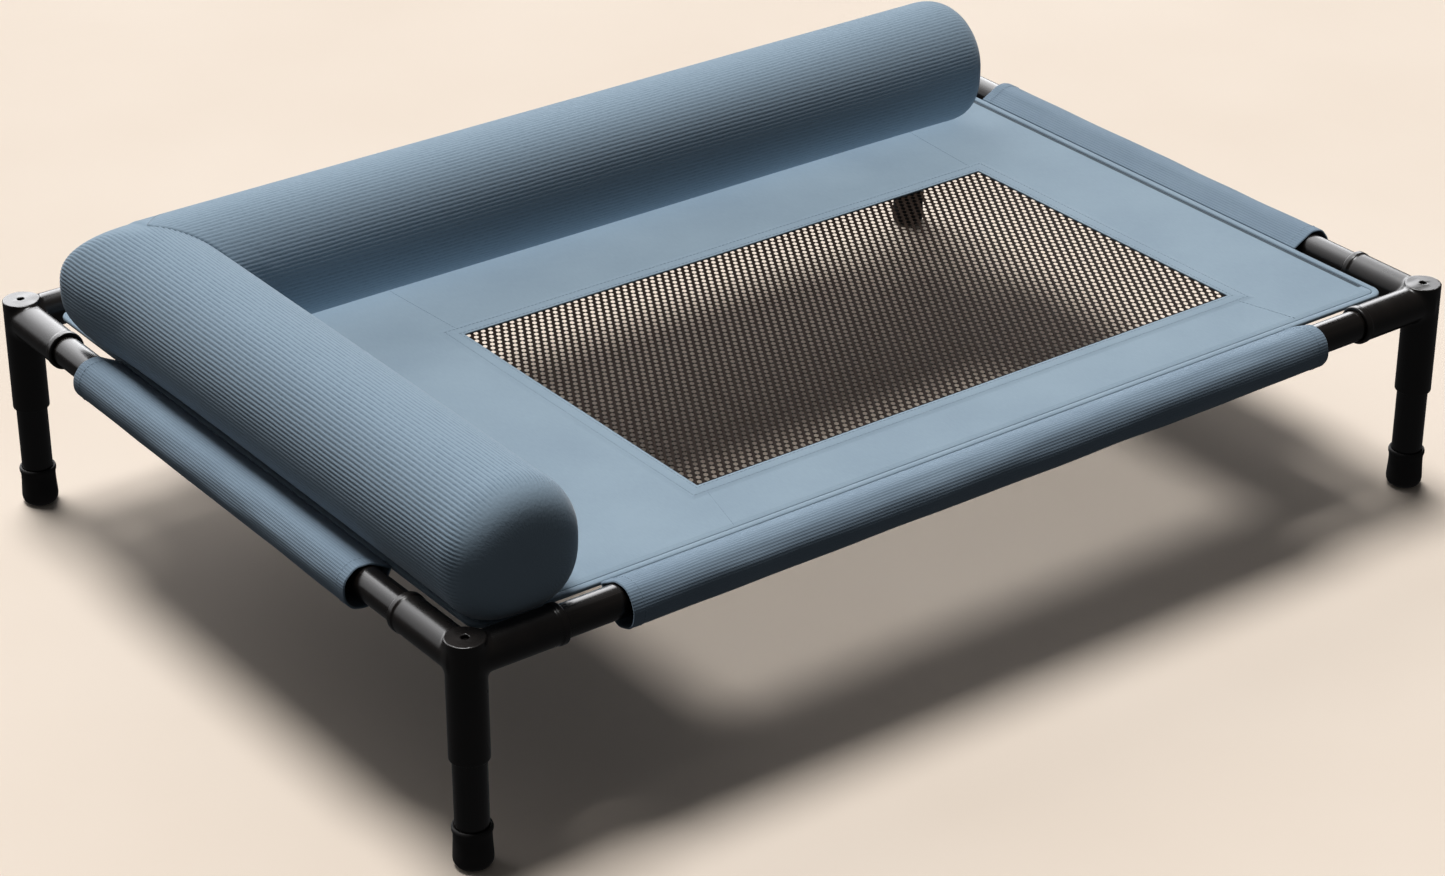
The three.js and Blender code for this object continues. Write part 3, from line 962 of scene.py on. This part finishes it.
def deck_hem():
    """Rolled hem round the deck: a soft tube of cloth pressed flat, following the deck's outline."""
    angles = np.linspace(0, 2 * math.pi, HEM_POINTS, endpoint=False)
    wide, tall = (HEM_WIDTH - 0.2) / 2, (hem_high[2] - hem_low[2]) / 2
    rings = []
    for across, up in zip(np.cos(angles), np.sin(angles)):
        inset = HEM_WIDTH / 2 - wide * np.sign(across) * abs(across) ** HEM_SQUARENESS
        height = hem_high[2] - tall + tall * np.sign(up) * abs(up) ** HEM_SQUARENESS + HEM_CROWN * max(up, 0)
        rings.append(level(inset_outline(hem_low, hem_high, inset, HEM_CORNER), height))
    points, faces, _ = shell(settled(np.array(rings)), "joined")
    hem = new_piece("deck_rolled_hem", points, faces, [deck_cloth], flat_uv(points, faces))
    return mount(hem, "base", "hem_fabric", "deck_hem")


def lattice_cell():
    """One hexagonal cell of the mesh with a long hole, its strands thickest in the middle."""
    turns = np.arange(6) * math.pi / 3
    reach = HOLE_PITCH / 2 / math.cos(math.pi / 6)
    outer = reach * np.stack([np.sin(turns), np.cos(turns)], -1)
    across = HOLE_WIDTH / 2 / math.sin(math.pi / 3)
    inner = np.stack([HOLE_LENGTH / 2 * np.cos(turns), across * np.sin(turns)], -1)
    c, s = math.cos(HOLE_TURN), math.sin(HOLE_TURN)
    inner = inner @ np.array([[c, s], [-s, c]])
    first = np.argsort([math.atan2(*point) for point in inner])
    inner = inner[first]
    outer = outer[np.argsort([math.atan2(*point) for point in outer])]
    gaps = [np.linalg.norm(np.roll(inner, k, 0) - outer, axis=1).sum() for k in range(6)]
    inner = np.roll(inner, np.argmin(gaps), 0)
    half, thin = STRAND_THICKNESS / 2, STRAND_THICKNESS / 4
    rings = np.array([level(outer, -half), level(inner, -thin), level(inner, thin), level(outer, half)])
    points, faces, _ = shell(rings, "open")
    return points, faces


def mesh_window():
    points, faces = lattice_cell()
    template = new_piece("cell_template", points, faces, [mesh_yarn])
    row_pitch = HOLE_PITCH * math.sin(math.pi / 3)
    width, depth = (mesh_high - mesh_low)[:2]
    columns, rows = int(width / HOLE_PITCH), int(depth / row_pitch)
    centre = (mesh_low + mesh_high) / 2 - (HOLE_PITCH / 4, 0, 0)
    window = grown("mesh_window", bpy.data.meshes.new("lattice_start"), lattice_tree(), {
        "Cell": template, "Columns": columns, "Rows": rows, "Pitch": HOLE_PITCH * MM,
        "Row Pitch": row_pitch * MM, "Centre": centre * MM, "Material": mesh_yarn,
    })
    bpy.data.objects.remove(template)
    co = np.empty(len(window.data.vertices) * 3, np.float32)
    window.data.vertices.foreach_get("co", co)
    window.data.vertices.foreach_set("co", (settled(co.reshape(-1, 3) / MM) * MM).astype(np.float32).ravel())
    return mount(window, "base", "mesh_fabric", "mesh_panel")


def stitches(name, lines, tree):
    """One row of stitches along each line of points; a line whose ends meet is a loop."""
    points, edges = [], []
    for line in lines:
        first = len(points)
        points += (np.asarray(line) * MM).tolist()
        edges += [(first + k, first + k + 1) for k in range(len(line) - 1)]
    start = bpy.data.meshes.new(name + "_lines")
    start.from_pydata(points, edges, [])
    return grown(name, start, tree, {
        "Length": STITCH_LENGTH * MM, "Spacing": STITCH_SPACING * MM,
        "Thickness": STITCH_THICKNESS * MM, "Material": thread,
    })


def closed_line(ring):
    return np.vstack([ring, ring[:1]])


def deck_stitches(tree):
    """Rows round the window's hem and one on each mitre that runs from its corners to the deck's edge."""
    lines = []
    for inset in (3, WINDOW_HEM - 2.5):
        ring = window_outline(inset)
        lines.append(settled(level(closed_line(ring), deck_top + WINDOW_HEM_RISE + STITCH_PROUD)))
    height = deck_top + STITCH_PROUD
    edges = ((window_low[1], deck_low[1] + LIP_WIDTH), (window_high[1], deck_high[1] - LIP_WIDTH))
    for x, away in ((window_low[0], -1), (window_high[0], 1)):
        for y, edge in edges:
            start = np.array([x, y + np.sign(y - edge) * -WINDOW_HEM, height])
            end = np.array([x + away * WINDOW_HEM, edge, height])
            lines.append(settled(np.linspace(start, end, 30)))
    return mount(stitches("deck_stitches", lines, tree), "base", "deck_fabric")


# ---------------------------------------------------------------- sleeves


def drop(radius, tip):
    """Outline round a rail, with two straight flanks that meet at a tip; it starts at the tip."""
    reach, aim = math.hypot(*tip), math.atan2(tip[1], tip[0])
    spread = math.acos(radius / reach)
    angles = np.linspace(aim + spread, aim - spread + 2 * math.pi, 200)
    arc = radius * np.stack([np.cos(angles), np.sin(angles)], -1)
    line = np.vstack([[tip], arc, [tip]])
    distance = np.concatenate([[0], np.cumsum(np.linalg.norm(np.diff(line, axis=0), axis=1))])
    even = np.linspace(0, distance[-1], SLEEVE_POINTS, endpoint=False)
    return np.stack([np.interp(even, distance, line[:, k]) for k in (0, 1)], -1)


def sleeve_rings(side, length, tip):
    """The sleeve's outer surface from end to end and its inner surface back again."""
    half = length / 2
    ends = [0, 0.15, 0.5, 1.2, 3, SLEEVE_HEM - 1.5, SLEEVE_HEM, SLEEVE_HEM + 1.5]
    middle = np.linspace(SLEEVE_HEM + 8, length - SLEEVE_HEM - 8, int(length / SLEEVE_STEP))
    stations = np.concatenate([ends, middle, length - np.array(ends[::-1])])
    radius = SLEEVE_RADIUS - SLEEVE_WALL / 2
    angles = np.linspace(0, 2 * math.pi, SLEEVE_POINTS, endpoint=False)
    from_middle = np.abs(np.arange(SLEEVE_POINTS) - SLEEVE_POINTS / 2)
    calm = smooth_step(from_middle, SLEEVE_POINTS / 2, SLEEVE_POINTS / 4)
    rings = []
    for outer in (True, False):
        for station in stations if outer else stations[::-1]:
            from_end = min(station, length - station)
            in_hem = 1 - smooth_step(from_end, SLEEVE_HEM - 1.5, SLEEVE_HEM + 1)
            half_wall = SLEEVE_WALL * (1 + SLEEVE_HEM_EXTRA * in_hem) / 2
            rounding = half_wall * (1 - math.sqrt(1 - (1 - min(from_end / SLEEVE_EDGE, 1)) ** 2))
            across = (half_wall - rounding) * (1 if outer else -1)
            section = drop(radius, tip * radius / SLEEVE_RADIUS) * ((radius + across) / radius)
            seed = Vector((station / SLEEVE_WAVE_LENGTH, side.middle[0], side.middle[1]))
            wave = [noise.noise(seed + Vector((0, 2 * math.sin(a), 2 * math.cos(a)))) for a in angles]
            lengths = np.linalg.norm(section, axis=1, keepdims=True)
            section = section * (1 + SLEEVE_WAVE * (np.array(wave) * calm)[:, None] / lengths)
            local = np.column_stack([
                np.full(SLEEVE_POINTS, station - half), section[:, 0] - SLEEVE_OUT,
                section[:, 1] - SLEEVE_DOWN,
            ])
            rings.append(side.place(local))
    return np.array(rings), stations


def sleeves(tree):
    lines, made = [], []
    for name in SIDES:
        side = Side(name)
        low, high = box("sleeve_" + name)
        length = (high - low)[side.run]
        edge = abs(side.middle[1 - side.run]) - hem_high[1 - side.run]
        tip = np.array([edge - GAP + SLEEVE_OUT, hem_high[2] - 0.5 - side.middle[2] + SLEEVE_DOWN])
        rings, stations = sleeve_rings(side, length, tip)
        points, faces, uv = shell(rings, "joined")
        sleeve = new_piece("cloth_sleeve_" + name, points, faces, [sleeve_cloth], uv)
        mount(sleeve, "base", "sleeve_fabric", "sleeve_" + name)
        girth = travelled(rings[len(stations) // 2])[-1]
        made.append((sleeve, length, girth, name))
        for station in (5, len(stations) - 6):
            ring = rings[station]
            lines.append(closed_line(ring + (ring - ring.mean(0)) * 0.004))
    stitches_piece = mount(stitches("sleeve_stitches", lines, tree), "base", "sleeve_fabric")


# ---------------------------------------------------------------- bolster


def domed_end(radius):
    """(radius, depth) points from near a roll's end middle, over its rounded edge, to its full width."""
    start = math.asin((POLE_RADIUS / radius) ** (END_FULLNESS / 2))
    turns = np.linspace(start, math.pi / 2, 40)
    return np.stack([radius * np.sin(turns) ** (2 / END_FULLNESS), END_DEPTH * (1 - np.cos(turns))], -1)


def evenly(line):
    """The points moved along their own line until they are evenly spaced."""
    distance = np.concatenate([[0], np.cumsum(np.linalg.norm(np.diff(line, axis=0), axis=1))])
    even = np.linspace(0, distance[-1], int(distance[-1] / RING_SPACING) + 1)
    return np.stack([np.interp(even, distance, line[:, k]) for k in (0, 1)], -1)


def half_width(radius, rise):
    """Half the width of a roll at a height above its axis. Below the axis it is fuller, as it rests."""
    power = np.where(rise < 0, SQUASH, 2.0)
    share = np.clip(np.abs(rise) / radius, 0, 1)
    return radius * (1 - share ** power) ** (1 / power)


def roll_section(radius):
    """(across, up) points round a roll's section, one for each rib."""
    angles = np.linspace(0, 2 * math.pi, RIBS, endpoint=False)
    c, s = np.abs(np.cos(angles)), np.abs(np.sin(angles))
    power = np.where(np.sin(angles) < 0, SQUASH, 2.0)
    reach = radius / (c ** power + s ** power) ** (1 / power)
    return reach * np.cos(angles), reach * np.sin(angles)


def inflated(rings, held_rings):
    """The rings after a cloth cover of that shape is filled. No point moves further than the limit, and
    the held rings stay where they are."""
    points, faces, uv = shell(rings, "capped")
    cover = new_piece("cover_to_fill", points, faces, [chenille])
    held = cover.vertex_groups.new(name="held")
    sides = rings.shape[1]
    held.add([int(ring) * sides + k for ring in held_rings for k in range(sides)], 1, "REPLACE")
    cloth = cover.modifiers.new("filling", "CLOTH")
    settings = cloth.settings
    settings.quality = 5
    settings.mass = 0.3
    settings.use_pressure = True
    settings.uniform_pressure_force = FILL_PRESSURE
    settings.vertex_group_mass = "held"
    settings.effector_weights.gravity = 0
    cloth.point_cache.frame_end = FILL_STEPS
    scene = bpy.context.scene
    for step in range(1, FILL_STEPS + 1):
        scene.frame_set(step)
    filled = cover.evaluated_get(bpy.context.evaluated_depsgraph_get())
    co = np.empty(len(points) * 3, np.float32)
    filled.data.vertices.foreach_get("co", co)
    scene.frame_set(1)
    bpy.data.objects.remove(cover)
    moved = co.reshape(-1, 3)[:rings[..., 0].size].reshape(rings.shape) / MM - rings
    distance = np.linalg.norm(moved, axis=-1, keepdims=True)
    return rings + moved * np.minimum(1, SWELL_LIMIT / np.maximum(distance, 1e-6))


def refined(rows, times, loop):
    """More rows between those given, on smooth curves through them."""
    if loop:
        before, after, beyond = np.roll(rows, 1, 0), np.roll(rows, -1, 0), np.roll(rows, -2, 0)
        at = rows
    else:
        padded = np.concatenate([[2 * rows[0] - rows[1]], rows, [2 * rows[-1] - rows[-2]]])
        before, at, after, beyond = padded[:-3], padded[1:-2], padded[2:-1], padded[3:]
    out = []
    for t in np.arange(times) / times:
        out.append(0.5 * (2 * at + (after - before) * t + (2 * before - 5 * at + 4 * after - beyond) * t ** 2
                          + (3 * at - before - 3 * after + beyond) * t ** 3))
    made = np.stack(out, 1).reshape(-1, *rows.shape[1:])
    return made if loop else np.concatenate([made, rows[-1:]])


def outward(rings):
    """Which way is out of the roll, at each point."""
    around = np.roll(rings, -1, 1) - np.roll(rings, 1, 1)
    along = np.gradient(rings, axis=0)
    normal = np.cross(around, along)
    normal /= np.maximum(np.linalg.norm(normal, axis=-1, keepdims=True), 1e-9)
    away = rings - rings.mean(1, keepdims=True)
    return normal * np.sign((normal * away).sum())


def ribbed(rings, fade):
    """Raises cords along the roll. Gives the rings and each point's place on a cord, from 0 to 1."""
    count, sides = rings.shape[:2]
    place, turn = np.arange(count)[:, None], np.arange(sides)[None, :] / sides
    wander = RIB_WANDER * np.sin(place / 3.1 + 40 * turn) * np.sin(place / 7.3 - 17 * turn)
    cord = np.abs(np.cos(math.pi * (turn * RIBS + wander))) ** RIB_ROUNDNESS
    above = (cord - RIB_MEAN) * fade
    return rings + outward(rings) * (RIB_HEIGHT * above)[..., None], RIB_MEAN + above


def kept_clear(rings):
    """The points pushed out of the space that the rails and the corner fittings fill."""
    clear = COLLAR_RADIUS + CLEARANCE
    for name in SIDES:
        side = Side(name)
        away = rings - side.middle
        away[..., side.run] = 0
        distance = np.linalg.norm(away, axis=-1, keepdims=True)
        rings = rings + away * np.maximum(clear / distance - 1, 0)
    return rings


def cover_piece(name, rings, fade):
    """Finishes a roll: fine rings, cords, a flat underside, and the mesh."""
    rings, fade = refined(rings, 2, False), refined(fade, 2, False)
    rings = refined(rings.swapaxes(0, 1), POINTS_PER_RIB, True).swapaxes(0, 1)
    fade = np.clip(refined(fade.T, POINTS_PER_RIB, True).T, 0, 1)
    rings, rib = ribbed(rings, fade)
    rings = kept_clear(rings)
    rings[..., 2] = np.maximum(rings[..., 2], roll_floor)
    points, faces, uv = shell(rings, "capped")
    cover = new_piece(name, points, faces, [chenille], uv)
    # The rib values also paint the cloth: lighter on the crests as a painted highlight, darker in the valleys
    # as painted shade.
    values = np.concatenate([rib.ravel(), [RIB_MEAN, RIB_MEAN]]).astype(np.float32)
    cover.data.attributes.new("rib", "FLOAT", "POINT").data.foreach_set("value", values)
    return cover


side_low, side_high = box("bolster_side_cover")
back_low, back_high = box("bolster_back_cover")
roll_radius = (side_high[0] - side_low[0]) / 2
side_axis = (side_low[0] + side_high[0]) / 2
back_axis = (back_low[1] + back_high[1]) / 2
roll_height = side_high[2] - roll_radius
roll_floor = side_low[2]


def end_fade(radii, radius):
    """How much of the cords is left at each ring: none on the round edge of an end."""
    return smooth_step(radii, radius - RIB_FADE[0], radius - RIB_FADE[1])[:, None] * np.ones(RIBS)


def corner_ring(place, height, radius):
    """Ring of the side roll where it turns the corner: its top falls away like the back roll's, and its
    outer edge is rounded. Also gives how much of the cords is left."""
    across, up = roll_section(radius)
    start = side_high[1] - CORNER_ROUNDING
    bend = CORNER_ROUNDING - math.sqrt(CORNER_ROUNDING ** 2 - max(place - start, 0) ** 2)
    bulge = CORNER_BULGE * smooth_step(place, back_axis - radius, back_axis + radius / 2)
    across = np.where(across < 0, across * (1 + (bulge - bend) / radius), across)
    past_axis = max(place - back_axis, 0) / radius
    soft = RIDGE_SOFTNESS[0] + (RIDGE_SOFTNESS[1] - RIDGE_SOFTNESS[0]) * past_axis
    reach = np.minimum(np.where(across < 0, soft, 1.0), 2 * height)
    held = blended(np.abs(up), height, reach)
    left = smooth_step(height - np.abs(up), *CORNER_RIB_FADE)
    ring = np.column_stack([side_axis + across, np.full(RIBS, place), roll_height + np.sign(up) * held])
    return ring, left


def cushion(piece, slot, node):
    mount(piece, "bolster", slot, node)


def filling(roll, rings):
    """The fibre inside a roll, a little smaller than its cover."""
    inside = rings - FILL_INSET * outward(rings)
    inside[..., 2] = np.maximum(inside[..., 2], box(f"bolster_{roll}_fill")[0][2])
    points, faces, uv = shell(inside, "capped")
    piece = new_piece(f"bolster_{roll}_filling", points, faces, [fibre], uv)
    cushion(piece, "fibre_fill", f"bolster_{roll}_fill")


def side_roll():
    radius = roll_radius - SWELL_START
    front = domed_end(radius) + (0, side_low[1] - END_BULGE)
    turns = np.linspace(0, CORNER_TURN * math.pi / 2, 24)
    corner = np.stack([radius * np.cos(turns), back_axis + radius * np.sin(turns)], -1)
    profile = evenly(np.vstack([front, corner]))
    across, up = roll_section(1)
    rings, fades = [], []
    for (r, place), fade in zip(profile, end_fade(profile[:, 0], radius)):
        if place < back_axis - radius:
            ring = np.column_stack([side_axis + r * across, np.full(RIBS, place), roll_height + r * up])
        else:
            height = r if place > back_axis else radius + CORNER_RISE * (back_axis - place)
            ring, fade = corner_ring(place, height, radius)
        rings.append(ring)
        fades.append(fade)
    rings = np.array(rings)
    rings = inflated(rings, np.flatnonzero(profile[:, 1] > back_axis - radius))
    filling("side", rings[1:-1])
    cover = cover_piece("bolster_side", rings, np.array(fades))
    cushion(cover, "bolster_fabric", "bolster_side_cover")


def back_roll():
    radius = roll_radius - SWELL_START
    across, up = roll_section(radius)
    end_place = back_high[0] + END_BULGE
    straight_end = end_place - END_DEPTH
    begin = side_axis + half_width(radius, up) - SEAM_OVERLAP
    count = int((straight_end - side_axis - radius) / RING_SPACING)
    rings = [np.column_stack([
        begin + (straight_end - begin) * share, back_axis + across, roll_height + up,
    ]) for share in np.linspace(0, 1, count, endpoint=False)]
    end = evenly(domed_end(radius))[::-1]
    for r, depth in end:
        place = np.full(RIBS, end_place - depth)
        rings.append(np.column_stack([place, back_axis + across * r / radius, roll_height + up * r / radius]))
    radii = np.concatenate([np.full(count, radius), end[:, 0]])
    rings = np.array(rings)
    rings = inflated(rings, (0, 1))
    filling("back", rings[rings[..., 0].min(1) > side_axis + roll_radius][:-1])
    cover = cover_piece("bolster_back", rings, BACK_RIB_SHARE * end_fade(radii, radius))
    cushion(cover, "bolster_fabric", "bolster_back_cover")


# ---------------------------------------------------------------- all pieces


corner_fittings()
legs()
rails()
head_screws()
deck = deck_panel()
hem = deck_hem()
window = mesh_window()
stitching = stitch_tree()
deck_thread = deck_stitches(stitching)
sleeves(stitching)
side_roll()
back_roll()

kept_nodes = {"leg_insert_" + corner: insert_nylon for corner in CORNERS}
kept_nodes.update({f"bolster_{roll}_zip": zip_nylon for roll in ("side", "back")})
for node, material in kept_nodes.items():
    materials = frame["nodes"][node].data.materials
    materials.clear()
    materials.append(material)


# ---------------------------------------------------------------- floor, lights and camera


def floor():
    flat = FLOOR_REACH * np.array([(-1, -1, 0), (1, -1, 0), (1, 1, 0), (-1, 1, 0)])
    piece = new_piece("floor", flat, [[0, 1, 2, 3]], [plain_floor()])
    piece.visible_diffuse = False
    piece.visible_glossy = False
    piece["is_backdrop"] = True


def sun():
    """Large soft key light from almost overhead. The back roll does not block it, so that the deck is lit
    right up to the roll's foot."""
    light = bpy.data.lights.new("key_light", "SUN")
    light.energy = SUN_STRENGTH
    light.angle = math.radians(SUN_SOFTNESS)
    lamp = bpy.data.objects.new("key_light", light)
    bpy.context.scene.collection.objects.link(lamp)
    lamp.rotation_euler = Vector(SUN_FROM).to_track_quat("Z", "Y").to_euler()
    blockers = bpy.data.collections.new("casts_shadow")
    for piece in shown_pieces():
        if not piece.name.startswith("bolster_back"):
            blockers.objects.link(piece)
    lamp.light_linking.blocker_collection = blockers


def eased(tree, value, start, end, low=0.0, high=1.0):
    """A socket's value carried smoothly from one range to another."""
    inputs = {"Value": value, "From Min": start, "From Max": end, "To Min": low, "To Max": high}
    return add(tree, "ShaderNodeMapRange", {"interpolation_type": "SMOOTHSTEP"}, inputs).outputs["Result"]


def world():
    """Dim studio with one broad bright wall behind the bed, brighter to the right and in reflections.
    A pale backdrop is all the camera sees."""
    made = bpy.data.worlds.new("studio")
    made.use_nodes = True
    tree = made.node_tree
    tree.nodes.clear()
    way = add(tree, "ShaderNodeTexCoord").outputs["Generated"]
    parts = add(tree, "ShaderNodeSeparateXYZ", inputs={"Vector": way}).outputs
    rays = add(tree, "ShaderNodeLightPath").outputs
    wall = eased(tree, parts["Y"], *WALL_EDGE)
    above_floor = eased(tree, parts["Z"], *WALL_HEIGHT)
    to_the_right = eased(tree, parts["X"], *WALL_SIDE, WALL_DIM_SIDE)
    for share in (above_floor, to_the_right):
        wall = add(tree, "ShaderNodeMath", {"operation": "MULTIPLY"}, {0: wall, 1: share}).outputs[0]
    strength = eased(tree, rays["Is Glossy Ray"], 0, 1, WALL_STRENGTH, WALL_GLOSS_STRENGTH)
    glow = add(tree, "ShaderNodeMath", {"operation": "MULTIPLY_ADD"}, {
        0: wall, 1: strength, 2: ROOM_STRENGTH,
    }).outputs[0]
    lit = add(tree, "ShaderNodeBackground", inputs={"Color": linear("fbfbfd"), "Strength": glow})
    seen = add(tree, "ShaderNodeBackground", inputs={"Color": linear(FLOOR_COLOUR), "Strength": 1.0})
    both = add(tree, "ShaderNodeMixShader", inputs={
        0: rays["Is Camera Ray"], 1: lit.outputs[0], 2: seen.outputs[0],
    }).outputs[0]
    add(tree, "ShaderNodeOutputWorld", inputs={"Surface": both})
    bpy.context.scene.world = made


def camera():
    lens = bpy.data.cameras.new("camera")
    lens.lens = CAMERA_LENS
    lens.sensor_width = CAMERA_SENSOR
    eye = bpy.data.objects.new("camera", lens)
    bpy.context.scene.collection.objects.link(eye)
    eye.location = CAMERA_PLACE
    eye.rotation_euler = Euler((math.radians(90 - CAMERA_TILT), 0, math.radians(CAMERA_TURN)))
    bpy.context.scene.camera = eye


floor()
sun()
world()
camera()
bpy.context.scene.view_settings.view_transform = "Standard"
